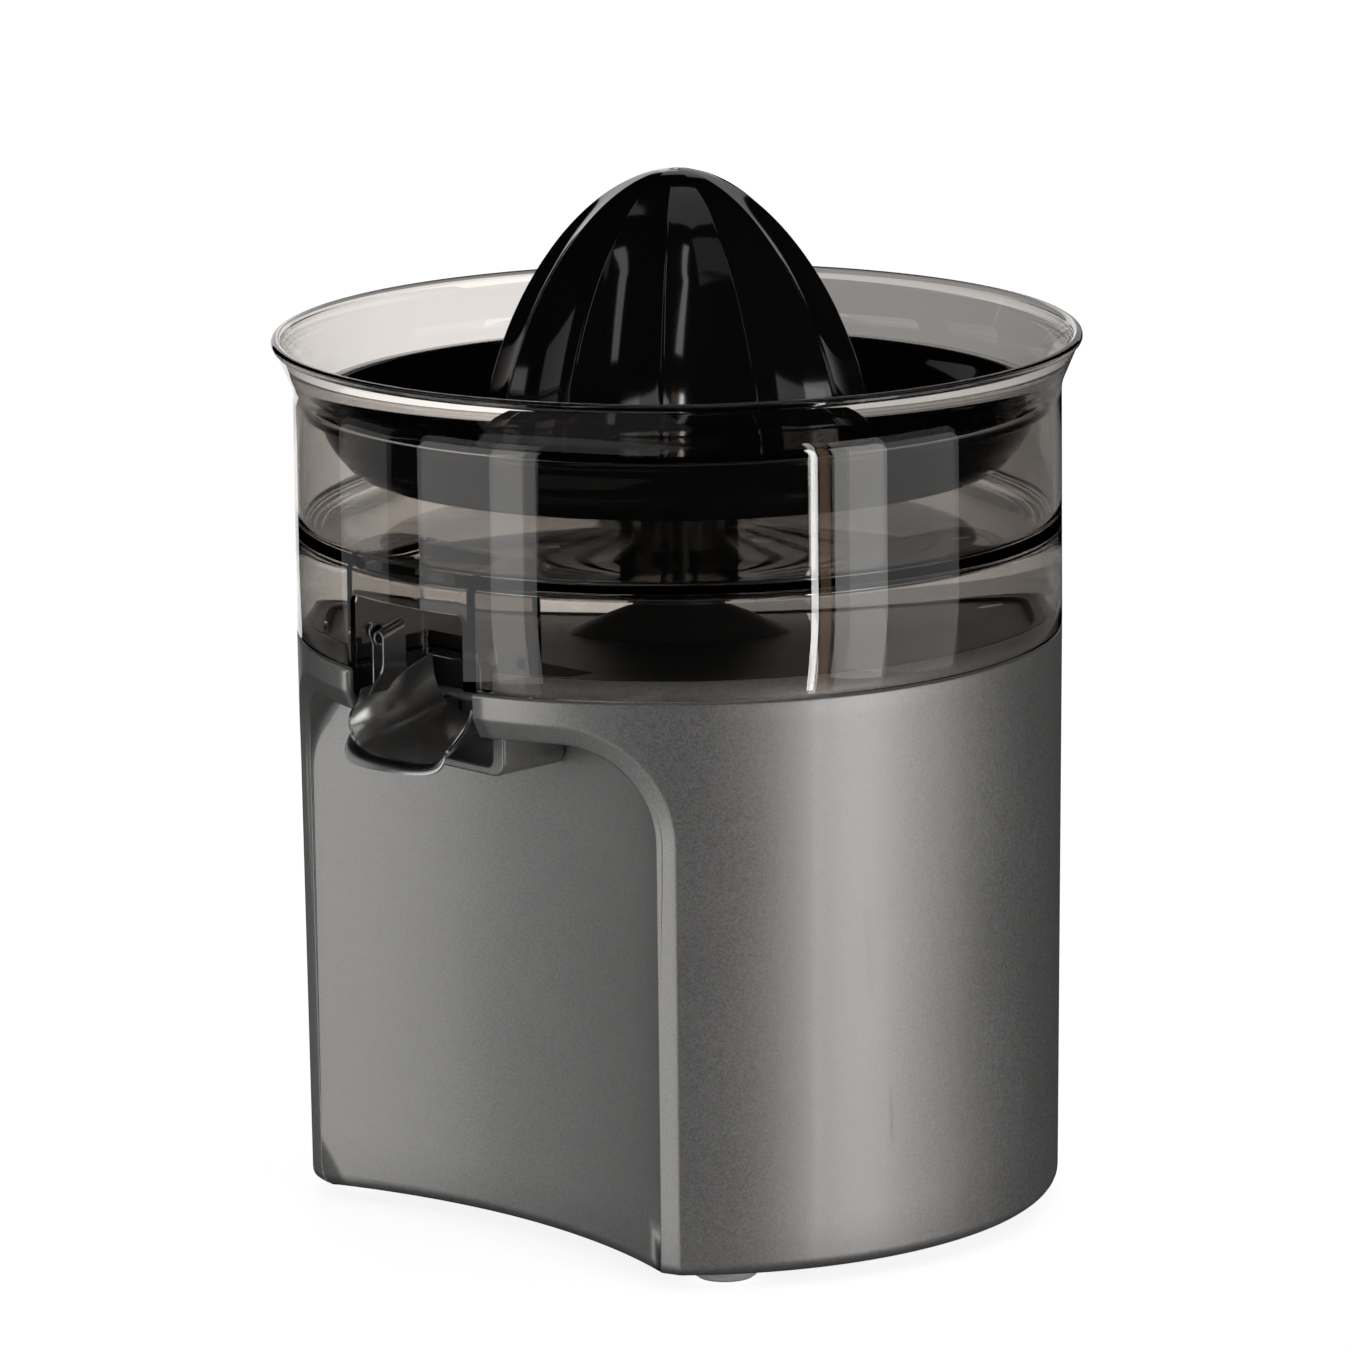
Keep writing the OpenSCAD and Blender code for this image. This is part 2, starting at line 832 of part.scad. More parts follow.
module juice_bowl() {
    color(smoke)
        difference() {
            union() {
                rotate_extrude($fn = 128)
                    bowl_section();
                // floor that falls towards the wall, and the chimney in its middle
                rotate_extrude($fn = 128)
                    polygon([[chimney_r - chimney_wall, floor_z + floor_rise],
                        [bowl_in + tiny, floor_z], [bowl_in + tiny, floor_z + floor_t],
                        [chimney_r, floor_z + floor_rise + floor_t], [chimney_r, chimney_top],
                        [chimney_r - chimney_wall, chimney_top]]);
                // lugs that carry the strainer
                for (a = [45:90:315])
                    intersection() {
                        tube(bowl_in + 0.5, bowl_in - 2.4, strainer_rim_z - 3,
                            strainer_rim_z - 0.1);
                        rotate([0, 0, a])
                            block([60, -5, 150], [90, 5, 190]);
                    }
                // chute down to the spout
                intersection() {
                    difference() {
                        block([-notch_half - chute_wall, -90, bowl_bottom],
                            [notch_half + chute_wall, -chute_depth, floor_z + 2]);
                        block([-notch_half, -91, bowl_bottom - 1],
                            [notch_half, -chute_depth - chute_wall, floor_z + 3]);
                    }
                    cylinder(r = bowl_in + 0.5, h = 200);
                }
            }
            block([-notch_half, -90, bowl_bottom - 1], [notch_half, -78, notch_top]);
            block([-13, -77.5, floor_z - 2], [13, -64, floor_z + 8]);
            translate([-30, pin_y, pin_z])
                rotate([0, 90, 0])
                    cylinder(r = pin_r + run_gap, h = 60, $fn = 48);
        }
}

// ---- spout ----

spout_rows = 14;
spout_cols = 10;
sheet_t = 0.8;
ear_x = 16.3;
spout_back = 61.5;
spout_front = 84.5;

// Half width, height of the bottom and height of the side walls along the trough, v from 0 to 1,
// and above 1 over the turned-down lip
function spout_half(v) = 12.4 + 2.6 * pow(max(0, (min(v, 1) - 0.55) / 0.45), 2) + 0.5 * max(0, v - 1);
function spout_low(v) = 115.8 - 5.2 * min(v, 1) - 2.6 * pow(max(0, (v - 0.8) / 0.4), 2);
function spout_wall(v) = 6.5 + 1.5 * v - 8 * max(0, v - 0.95) * 4;
function spout_y(v) = -spout_back - (spout_front - spout_back) * min(v, 1)
    - 2.4 * sin(min(90, max(0, v - 1) * 450));

// A point of the sheet: u from -1 to 1 across, on the inside (side 0) or the outside (side 1)
function spout_pt(u, v, side) = let(
    w = spout_half(v) + side * sheet_t,
    bend = min(1, abs(u) / 0.7) * 90,
    up = max(0, (abs(u) - 0.7) / 0.3),
    flare = 1.6 * up * up * max(0, v - 0.5)
) [
    sign(u) * (w * sin(bend) + flare),
    spout_y(v),
    spout_low(v) + 7 - (7 + side * sheet_t) * cos(bend) + up * max(0.6, spout_wall(v))
];

module spout() {
    rows = spout_rows;
    cols = 2 * spout_cols;
    width = cols + 1;
    grid = [for (side = [0, 1], i = [0:rows], j = [0:cols])
        spout_pt((j - spout_cols) / spout_cols, 1.2 * i / rows, side)];
    half = (rows + 1) * width;
    top = [for (i = [0:rows - 1], j = [0:cols - 1], t = [0, 1])
        let(a = i * width + j) t == 0 ? [a, a + 1, a + width] : [a + 1, a + width + 1, a + width]];
    under = [for (f = top) [f[2] + half, f[1] + half, f[0] + half]];
    border = concat(
        [for (j = [0:cols - 1]) [j, j + 1]],
        [for (i = [0:rows - 1]) [i * width + cols, (i + 1) * width + cols]],
        [for (j = [cols:-1:1]) [rows * width + j, rows * width + j - 1]],
        [for (i = [rows:-1:1]) [i * width, (i - 1) * width]]);
    edge = [for (e = border, t = [0, 1])
        t == 0 ? [e[1], e[0], e[0] + half] : [e[1], e[0] + half, e[1] + half]];
    color(steel) {
        polyhedron(grid, concat(top, under, edge), convexity = 6);
        // ears on the pivot pins
        for (side = [-1, 1])
            difference() {
                union() {
                    block([side * ear_x - 0.3, pin_y - 2.2, 121], [side * ear_x + 0.3, pin_y + 2.2, pin_z]);
                    translate([side * ear_x - 0.3, pin_y, pin_z])
                        rotate([0, 90, 0])
                            cylinder(r = 2.9, h = 0.6, $fn = 48);
                    block([side * 14.4 - 2.2, pin_y - 2.2, 121], [side * 14.4 + 2.2, pin_y + 2.2, 121.8]);
                }
                translate([-30, pin_y, pin_z])
                    rotate([0, 90, 0])
                        cylinder(r = pin_r + 0.02, h = 60, $fn = 48);
            }
        // finger tab with a rolled top
        block([-12.9, -76, 121.2], [-12.1, -69.5, 134.6]);
        translate([-13.9, -69.5, 134.4])
            rotate([90, 0, 0])
                difference() {
                    cylinder(r = 1.8, h = 6.5, $fn = 32);
                    translate([0, 0, -1])
                        cylinder(r = 1, h = 10, $fn = 32);
                    translate([-5, -5, -1])
                        cube([5, 4.4, 10]);
                }
    }
}

module spout_pins() {
    color(steel)
        for (side = [-1, 1])
            translate([side > 0 ? ear_x - 0.3 : -20, pin_y, pin_z])
                rotate([0, 90, 0])
                    cylinder(r = pin_r, h = 20.3 - ear_x, $fn = 48);
}

// ---- strainer ----

module strainer() {
    t = strainer_t;
    slot_low = 47;
    slot_high = 67;
    color(black)
        difference() {
            rotate_extrude($fn = 128)
                polygon([[collar_r, strainer_z], [strainer_r - 3, strainer_z],
                    [strainer_r, strainer_z + 0.9], [76.2, strainer_z + 7.2],
                    [77.6, strainer_rim_z - 1], [78, strainer_rim_z],
                    [strainer_rim_r, strainer_rim_z], [strainer_rim_r, strainer_rim_z + 1.6],
                    [77, strainer_rim_z + 1.6], [75.9, strainer_rim_z], [74.4, strainer_z + 8],
                    [strainer_r - 1.4, strainer_z + t + 1.2], [strainer_r - 4, strainer_z + t],
                    [collar_r + t, strainer_z + t], [collar_r + t, strainer_z + 4],
                    [collar_r, strainer_z + 4]]);
            for (i = [0:slots - 1])
                rotate([0, 0, (i + 0.5) * 360 / slots]) {
                    block([slot_low, -1.1, strainer_z - 1], [slot_high, 1.1, strainer_z + 5]);
                    block([20, -0.9, strainer_z - 1], [38, 0.9, strainer_z + 5]);
                }
        }
}

// ---- cone ----

// Radius of the cone's ridges at height t, from 0 at the base to 1 at the tip
function cone_ridge(t) = cone_r * pow(max(0, 1 - pow(t, 1.55)), 0.527);

// How deep the groove is at a height and angle: sharp ribs with hollows between, and every third
// rib runs up to the tip
function groove(t, a) = let(
    wave = abs(sin(a * ribs / 2)),
    main = abs(sin(a * ribs / 6)),
    fade = min(1, (1 - t) * 3.2)
) (1 - wave) * 0.085 * fade + (1 - main) * 0.06 * (1 - fade * 0.7);

module cone() {
    around = ribs * rib_steps;
    height = cone_top - cone_z;
    heights = [for (i = [0:cone_rings]) 1 - pow(1 - i / (cone_rings + 0.6), 1.7)];
    ring = [for (t = heights, j = [0:around - 1])
        let(a = j * 360 / around, r = cone_ridge(t) * (1 - groove(t, a)))
            [r * cos(a), r * sin(a), cone_z + t * height]];
    tip = len(ring);
    sides = [for (i = [0:cone_rings - 1], j = [0:around - 1], side = [0, 1])
        let(k = (j + 1) % around, a = i * around)
            side == 0 ? [a + j, a + around + k, a + k] : [a + j, a + around + j, a + around + k]];
    cap = [for (j = [0:around - 1])
        [cone_rings * around + j, tip, cone_rings * around + (j + 1) % around]];
    base = [[for (j = [0:around - 1]) j]];
    color(black) {
        difference() {
            polyhedron(concat(ring, [[0, 0, cone_top]]), concat(sides, cap, base), convexity = 6);
            // hollow underside
            rotate_extrude()
                polygon([[0, cone_z - 1], [cone_r * 0.88 - cone_wall, cone_z - 1],
                    for (t = [0:0.1:0.7]) [cone_ridge(t) * 0.86 - cone_wall, cone_z + t * height],
                    [0, cone_z + 0.78 * height]]);
        }
        // socket on the six-sided key
        difference() {
            translate([0, 0, socket_z])
                cylinder(r = socket_r, h = cone_top - 22 - socket_z);
            translate([0, 0, socket_z - 1])
                cylinder(r = (key_flats / 2 + 0.25) / cos(30), h = shaft_top + 4 - socket_z, $fn = 6);
        }
        for (a = [0:90:270])
            rotate([0, 0, a])
                block([socket_r - 0.5, -0.8, cone_z + 6], [31, 0.8, cone_z + 22]);
    }
}

body_shell();
base_plate();
feet();
base_screws();
top_deck();
deck_screws();
tower_bush();
shaft_seal();
cord_gland();
cord_clamp();
gear_tray();
gear_cover();
gear_pillars();
gear_screws();
lower_bush();
upper_bush();
motor_can();
motor_magnets();
motor_end_cap();
motor_brushes();
motor_bushes();
motor_screws();
motor_shaft();
motor_armature();
motor_commutator();
motor_pinion();
idler_axle();
idler_wheel();
return_spring();
thrust_cup();
switch_body();
switch_plunger();
circuit_board();
drive_shaft();
output_wheel();
retaining_clip();
drive_key();
juice_bowl();
spout();
spout_pins();
strainer();
cone();
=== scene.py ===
from math import asin, atan2, cos, degrees, pi, radians, sin, sqrt

import bmesh
import bpy
from mathutils import Matrix, Vector


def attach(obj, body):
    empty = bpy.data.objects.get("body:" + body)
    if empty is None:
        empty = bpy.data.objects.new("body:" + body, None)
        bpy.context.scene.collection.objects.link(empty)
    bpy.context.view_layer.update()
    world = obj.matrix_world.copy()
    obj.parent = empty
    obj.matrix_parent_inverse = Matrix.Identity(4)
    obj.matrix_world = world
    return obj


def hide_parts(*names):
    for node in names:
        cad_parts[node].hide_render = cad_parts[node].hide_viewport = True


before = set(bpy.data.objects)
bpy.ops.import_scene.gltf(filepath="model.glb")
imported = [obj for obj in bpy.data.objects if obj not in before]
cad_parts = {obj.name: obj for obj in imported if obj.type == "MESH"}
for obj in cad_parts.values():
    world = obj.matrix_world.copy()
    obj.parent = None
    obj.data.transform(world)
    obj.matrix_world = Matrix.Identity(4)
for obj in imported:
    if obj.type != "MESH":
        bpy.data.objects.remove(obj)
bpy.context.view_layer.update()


MM = 0.001

# body
BODY_R = 82.5
BODY_FOOT_R = 81.4
FOOT_H = 3.0
EDGE_R = 3.0
SEAM_Z = 126.6
NECK_R = 80.0
NECK_TOP = 131.2
BAY_HALF = 63.8
BAY_TOP = 121.4
BAY_CORNER = 25.5
BAY_WALL_Y = 51.0
BAY_WALL_R = 165.0
BEVEL_W = 4.3
BEVEL_DEPTH = 2.0
SHELL_T = 1.6

# spout's cradle
CRADLE_HALF = 17.8
CRADLE_WALL = 3.6
CRADLE_FRONT = 70.0
CRADLE_Z = 106.6
CRADLE_FLOOR = 2.0

# bowl
BOWL_IN = 80.6
BOWL_BOTTOM = 126.9
FLARE_Z = 179.0
FLOOR_Z = 148.7
CHUTE_HALF = 17.1
CHUTE_WALL = 2.0
CHUTE_BACK = 58.0
NOTCH_TOP = 143.0
PIN_Y = -74.0
PIN_Z = 134.0
EAR_X = 16.3
TROUGH_START = 61.5
TROUGH_REACH = 22.8
TROUGH_HALF = 12.9
TROUGH_FLARE = 2.6
TROUGH_FLOOR_Z = 115.8
TROUGH_FALL = 5.4
TROUGH_WALL = 11.9
LIP_SPREAD = 58
LIP_OUT, LIP_DOWN = 0.64, 0.77
TAB_FRONT, TAB_LENGTH = -76.0, 6.5
TAB_TILT = 0.3
TAB_STEPS = 7

# strainer and cone
STRAINER_Z = 162.8
STRAINER_RIM_Z = 175.2
CONE_Z = 168.5
CONE_TOP = 225.7
CONE_R = 42.5
RIB_STEP = 30.0
RIB_PHASE = 10.2
FLUTE_DEPTH, BROAD_DEPTH = 0.075, 0.012
CONE_WALL = 2.0


# ---------------------------------------------------------------- finishes

class Value:
    """A socket of a finish, so that shader sums are written like ordinary ones."""

    def __init__(self, finish, socket):
        self.finish = finish
        self.socket = socket

    def _sum(self, operation, first, second):
        return self.finish.node("ShaderNodeMath", {"operation": operation}, {0: first, 1: second})

    def __add__(self, other):
        return self._sum("ADD", self, other)

    def __radd__(self, other):
        return self._sum("ADD", other, self)

    def __sub__(self, other):
        return self._sum("SUBTRACT", self, other)

    def __rsub__(self, other):
        return self._sum("SUBTRACT", other, self)

    def __mul__(self, other):
        return self._sum("MULTIPLY", self, other)

    def __rmul__(self, other):
        return self._sum("MULTIPLY", other, self)


class Finish:
    """A node-based material under construction."""

    def __init__(self, name):
        self.material = bpy.data.materials.new(name)
        self.material.use_nodes = True
        self.tree = self.material.node_tree
        self.tree.nodes.clear()
        self.place = self.node("ShaderNodeTexCoord", output="Object")

    def node(self, kind, settings=None, values=None, output=0):
        """Adds a node, sets it, fills its sockets, and returns one of its outputs."""
        node = self.tree.nodes.new(kind)
        for key, setting in (settings or {}).items():
            setattr(node, key, setting)
        for key, value in (values or {}).items():
            if isinstance(value, Value):
                self.tree.links.new(value.socket, node.inputs[key])
            else:
                node.inputs[key].default_value = value
        return Value(self, node.outputs[output])

    def noise(self, scale, detail=2.0, roughness=0.5, stretch=(1, 1, 1), shift=0.0):
        """Soft random pattern between 0 and 1, sized in cycles a metre."""
        spot = self.node("ShaderNodeMapping", None, {
            "Vector": self.place, "Scale": stretch, "Location": (shift, shift * 0.7, shift * 1.3)})
        return self.node("ShaderNodeTexNoise", None, {
            "Vector": spot, "Scale": scale, "Detail": detail, "Roughness": roughness})

    def flakes(self, scale):
        """A random grey for every small cell, as metal flakes in paint have."""
        cell = self.node("ShaderNodeTexVoronoi", None,
                         {"Vector": self.place, "Scale": scale}, "Color")
        return self.node("ShaderNodeSeparateColor", None, {"Color": cell})

    def between(self, value, low, high):
        """0 where the value is below low, 1 where it is above high."""
        return self.node("ShaderNodeMapRange", {"clamp": True},
                         {"Value": value, "From Min": low, "From Max": high})

    def scratches(self, stretch, shift, share=0.62):
        """Sparse thin lines, 1 on the line and 0 off it."""
        lines = self.noise(1.0, 4.0, 0.75, stretch, shift)
        patch = self.between(self.noise(38.0, 2.0, 0.5, (1, 1, 1), shift + 3.0), 0.48, 0.7)
        return self.between(lines, share, share + 0.06) * patch

    def mix(self, share, low, high):
        """A colour between low and high."""
        return self.node("ShaderNodeMix", {"data_type": "RGBA"},
                         {0: share, 6: low, 7: high}, 2)

    def bump(self, height, distance, strength=1.0):
        """A normal bent by a height pattern, distance in metres."""
        return self.node("ShaderNodeBump", None,
                         {"Height": height, "Distance": distance, "Strength": strength})

    def done(self, values):
        """Closes the material with one shader that holds the given values."""
        shader = self.node("ShaderNodeBsdfPrincipled", None, values)
        self.node_out(shader)
        return self.material

    def node_out(self, shader):
        out = self.tree.nodes.new("ShaderNodeOutputMaterial")
        self.tree.links.new(shader.socket, out.inputs["Surface"])


def grey(level, warm=0.0):
    """A near-grey colour; warm above 0 leans to brown."""
    return (level * (1 + warm), level, level * (1 - warm), 1)


def body_paint():
    """Satin warm-grey metallic paint with a fine speckle."""
    f = Finish("body_paint")
    speckle = f.flakes(3100.0)
    broad = f.noise(26.0, 3.0, 0.55)
    orange_peel = f.noise(900.0, 2.0, 0.5)
    worn = f.scratches((260, 260, 24), 4.0)
    tone = speckle * 0.5 + broad * 0.3 + 0.1
    return f.done({
        "Base Color": f.mix(tone, grey(0.30, 0.018), grey(0.50, 0.012)),
        "Metallic": 0.75,
        "Roughness": 0.38 + speckle * 0.1 + broad * 0.06 + worn * 0.1,
        "Coat Weight": 0.12,
        "Coat Roughness": 0.12,
        "Normal": f.bump(orange_peel * 0.5 + speckle * 0.5, 0.00003, 0.35),
    })


def polished_black(name, level, roughness):
    """Polished black moulding with faint wiping marks."""
    f = Finish(name)
    wiped = f.noise(55.0, 4.0, 0.6)
    marks = f.scratches((700, 700, 60), 1.0, 0.66)
    dust = f.between(f.noise(2600.0, 1.0), 0.74, 0.8)
    return f.done({
        "Base Color": f.mix(dust * 0.25 + marks * 0.1, grey(level), grey(0.09)),
        "Roughness": roughness + wiped * 0.05 + marks * 0.15 + dust * 0.1,
        "IOR": 1.5,
        "Normal": f.bump(wiped, 0.00004, 0.25),
    })


def satin_moulding(name, colour, roughness, grain=1700.0):
    """Fine-grained moulding or rubber."""
    f = Finish(name)
    sand = f.noise(grain, 3.0, 0.6)
    broad = f.noise(60.0, 3.0)
    dark = tuple(channel * 0.78 for channel in colour[:3]) + (1,)
    return f.done({
        "Base Color": f.mix(sand * 0.4 + broad * 0.6, dark, colour),
        "Roughness": roughness + sand * 0.08 + broad * 0.08,
        "Normal": f.bump(sand, 0.00008, 0.4),
    })


def smoked_clear():
    """Polished smoked transparent moulding with handling marks."""
    f = Finish("smoked_clear")
    hazy = f.noise(42.0, 4.0, 0.6)
    marks = f.scratches((420, 420, 46), 7.0, 0.68)
    wavy = f.noise(16.0, 1.0, 0.4, (1, 1, 0.35))
    return f.done({
        "Base Color": f.mix(hazy, (0.53, 0.50, 0.475, 1), (0.59, 0.565, 0.54, 1)),
        "Roughness": 0.008 + hazy * 0.012 + marks * 0.12,
        "IOR": 1.5,
        "Transmission Weight": 1.0,
        "Normal": f.bump(wavy, 0.0004, 0.12),
    })


def brushed_steel(name, level, stretch, roughness):
    """Metal with fine lines left by brushing."""
    f = Finish(name)
    lines = f.noise(1.0, 4.0, 0.65, stretch)
    smudge = f.noise(70.0, 3.0, 0.6)
    return f.done({
        "Base Color": f.mix(lines * 0.6 + smudge * 0.4, grey(level * 0.85, 0.01),
                            grey(level, 0.015)),
        "Metallic": 1.0,
        "Roughness": roughness + lines * 0.1 + smudge * 0.06,
        "Normal": f.bump(lines, 0.00001, 0.12),
    })


def soft_pad():
    """Soft milky pad of the feet."""
    f = Finish("foot_pad")
    cloud = f.noise(420.0, 3.0)
    return f.done({
        "Base Color": f.mix(cloud, grey(0.72), grey(0.88, -0.01)),
        "Roughness": 0.32 + cloud * 0.16,
        "Transmission Weight": 0.35,
        "IOR": 1.42,
        "Normal": f.bump(cloud, 0.00006, 0.3),
    })


def bronze():
    """Sintered bearing bronze with open pores."""
    f = Finish("bronze")
    pores = f.between(f.noise(3800.0, 2.0), 0.52, 0.62)
    tone = f.noise(140.0, 2.0)
    return f.done({
        "Base Color": f.mix(tone, (0.5, 0.33, 0.14, 1), (0.68, 0.48, 0.24, 1)),
        "Metallic": 1.0,
        "Roughness": 0.34 + pores * 0.2,
        "Normal": f.bump(1 - pores, 0.00004, 0.5),
    })


def winding():
    """Lacquered copper wire laid side by side."""
    f = Finish("winding")
    wires = f.noise(1.0, 1.0, 0.4, (1500, 1500, 90))
    tone = f.noise(120.0, 2.0)
    return f.done({
        "Base Color": f.mix(tone, (0.42, 0.13, 0.05, 1), (0.66, 0.26, 0.1, 1)),
        "Metallic": 0.85,
        "Roughness": 0.25 + wires * 0.2,
        "Normal": f.bump(wires, 0.0001, 0.6),
    })


FINISHES = {
    "body_paint": body_paint(),
    "cone_black": polished_black("cone_black", 0.006, 0.045),
    "matt_black": satin_moulding("matt_black", grey(0.022), 0.36),
    "smoked_clear": smoked_clear(),
    "steel": brushed_steel("steel", 0.62, (1600, 40, 900), 0.16),
    "zinc": brushed_steel("zinc", 0.66, (500, 500, 500), 0.22),
    "foot_pad": soft_pad(),
    "nylon": satin_moulding("nylon", (0.8, 0.78, 0.7, 1), 0.38),
    "bronze": bronze(),
    "magnet": satin_moulding("magnet", grey(0.07, 0.02), 0.5, 900.0),
    "winding": winding(),
    "board": satin_moulding("board", (0.42, 0.3, 0.14, 1), 0.45, 500.0),
}


def dress_frame_parts():
    """Gives every part that is kept from the frame the finish named by its slot."""
    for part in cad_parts.values():
        for place in part.material_slots:
            name = place.material.name.split(".")[0] if place.material else ""
            place.material = FINISHES.get(name, FINISHES["matt_black"])


# ---------------------------------------------------------------- mesh tools

def piece_from(name, points, faces, finish, smooth=True):
    """A mesh piece from points in millimetres."""
    mesh = bpy.data.meshes.new(name)
    mesh.from_pydata([Vector(point) * MM for point in points], [], faces)
    mesh.update()
    if smooth:
        mesh.shade_smooth()
    piece = bpy.data.objects.new(name, mesh)
    bpy.context.collection.objects.link(piece)
    if finish:
        mesh.materials.append(FINISHES[finish])
    return piece


def settle(piece):
    """Turns a piece's modifiers into plain mesh."""
    graph = bpy.context.evaluated_depsgraph_get()
    finished = bpy.data.meshes.new_from_object(piece.evaluated_get(graph))
    piece.modifiers.clear()
    piece.data = finished
    return piece


def cut(piece, tools, operation="DIFFERENCE"):
    """Cuts tools out of a piece, or joins them to it, and throws the tools away."""
    for tool in tools:
        step = piece.modifiers.new("cut", "BOOLEAN")
        step.operation = operation
        step.solver = "EXACT"
        step.object = tool
    settle(piece)
    for tool in tools:
        bpy.data.objects.remove(tool)
    return piece


def soften(piece, width, angle=32.0, segments=2):
    """Rounds the sharp edges a little and keeps broad faces flat-looking."""
    step = piece.modifiers.new("edges", "BEVEL")
    step.width = width * MM
    step.segments = segments
    step.limit_method = "ANGLE"
    step.angle_limit = radians(angle)
    step.harden_normals = True
    step.use_clamp_overlap = True
    return piece


def square_up(piece):
    """Turns all faces of a piece outwards."""
    mesh = bmesh.new()
    mesh.from_mesh(piece.data)
    bmesh.ops.remove_doubles(mesh, verts=mesh.verts, dist=1e-7)
    bmesh.ops.recalc_face_normals(mesh, faces=mesh.faces)
    mesh.to_mesh(piece.data)
    mesh.free()
    return piece


def revolve(name, section, finish, steps=192):
    """Turns a closed section of (radius, height) round the axis."""
    count = len(section)
    points = []
    for step in range(steps):
        angle = 2 * pi * step / steps
        points += [(r * cos(angle), r * sin(angle), z) for r, z in section]
    faces = []
    for step in range(steps):
        here, there = step * count, (step + 1) % steps * count
        for i in range(count):
            j = (i + 1) % count
            faces.append((here + i, there + i, there + j, here + j))
    return piece_from(name, points, faces, finish)


def prism(name, outline, low, high, finish=None, to_frame=None):
    """A closed outline pushed from low to high; to_frame turns (a, b, depth) into a point."""
    to_frame = to_frame or (lambda a, b, depth: (a, b, depth))
    count = len(outline)
    points = [to_frame(a, b, depth) for depth in (low, high) for a, b in outline]
    faces = [tuple(range(count))[::-1], tuple(range(count, 2 * count))]
    for i in range(count):
        j = (i + 1) % count
        faces.append((i, j, count + j, count + i))
    return piece_from(name, points, faces, finish, smooth=False)


def box(name, low, high):
    """A plain block used as a cutting tool."""
    outline = [(low[0], low[1]), (high[0], low[1]), (high[0], high[1]), (low[0], high[1])]
    return prism(name, outline, low[2], high[2])


def arc(middle, radius, start, end, steps):
    """Points of an arc, angles in degrees."""
    turns = [radians(start + (end - start) * i / steps) for i in range(steps + 1)]
    return [(middle[0] + radius * cos(turn), middle[1] + radius * sin(turn)) for turn in turns]


def grid_faces(rows, columns, closed=False):
    """Faces of a net of points held row after row."""
    faces = []
    for row in range(rows - 1):
        for column in range(columns if closed else columns - 1):
            after = (column + 1) % columns
            faces.append((row * columns + column, row * columns + after,
                          (row + 1) * columns + after, (row + 1) * columns + column))
    return faces


# ---------------------------------------------------------------- body

def rolled_in(z):
    """How far the surface has turned inwards near the bottom edge."""
    drop = min(1.0, max(0.0, (FOOT_H + EDGE_R - z) / EDGE_R))
    return EDGE_R * (1 - sqrt(1 - drop * drop))


def at_radius(radius, s, z):
    """A point at s along the unrolled wall; over the middle of the bay its x doesn't change."""
    if abs(s) < STRAIGHT_S - 0.01:
        x = BODY_R * sin(s / BODY_R)
        return (x, -sqrt(radius * radius - x * x), z)
    turn = s / BODY_R
    return (radius * sin(turn), -radius * cos(turn), z)


def body_radius(z):
    """The body's radius at a height, leaving out the rounding of its bottom edge."""
    rise = max(0.0, z - FOOT_H - EDGE_R) / (SEAM_Z - FOOT_H - EDGE_R)
    return BODY_FOOT_R + (BODY_R - BODY_FOOT_R) * rise


def on_body(s, z, depth=0.0):
    """A point at s along the unrolled wall and height z, depth under the surface."""
    return at_radius(body_radius(z) - depth - rolled_in(z), s, z)


ARC_STEPS = 24
STRAIGHT_S = BAY_HALF - BAY_CORNER
NOTCH_HALF = 19.3
NECK_GAP = 22.4
CHUTE_GAP = CRADLE_HALF - CRADLE_WALL
# places across the top of the bay, so that edges fall on the notch and the gaps
TOP_X = [32, 27, NECK_GAP, NOTCH_HALF, 16.8, CHUTE_GAP, 10.5, 7, 3.5]
TOP_X = TOP_X + [0] + [-x for x in reversed(TOP_X)]
TOP_STEPS = len(TOP_X) + 1
SIDE_Z = ([FOOT_H + EDGE_R - EDGE_R * cos(radians(i * 15)) for i in range(7)]
          + [FOOT_H + EDGE_R + (BAY_TOP - BAY_CORNER - FOOT_H - EDGE_R) * i / 10
             for i in range(1, 10)])


def arch_path(inset):
    """The bay's outline shrunk by inset, with the way inwards at each point."""
    half, top, corner = BAY_HALF - inset, BAY_TOP - inset, BAY_CORNER - inset
    right = [(half, z, -1.0, 0.0) for z in SIDE_Z]
    for i in range(ARC_STEPS + 1):
        turn = pi / 2 * i / ARC_STEPS
        right.append((half - corner + corner * cos(turn), top - corner + corner * sin(turn),
                      -cos(turn), -sin(turn)))
    flat = [(BODY_R * asin(x / BODY_R), top, 0.0, -1.0) for x in TOP_X]
    left = [(-s, z, -nx, nz) for s, z, nx, nz in reversed(right)]
    return right + flat + left


def bay_wall_at(x):
    """Depth of the bay's hollow back wall."""
    return -BAY_WALL_Y - BAY_WALL_R + sqrt(BAY_WALL_R ** 2 - x * x)


def on_wall(x, y, z):
    """A point of the bay's wall or soffit, turned in near the bottom like the body round it."""
    share = x / 52.0
    turned = rolled_in(z)
    return (x - 0.66 * share * turned, y + turned * (0.75 + 0.25 * max(0.0, 1 - share * share)), z)


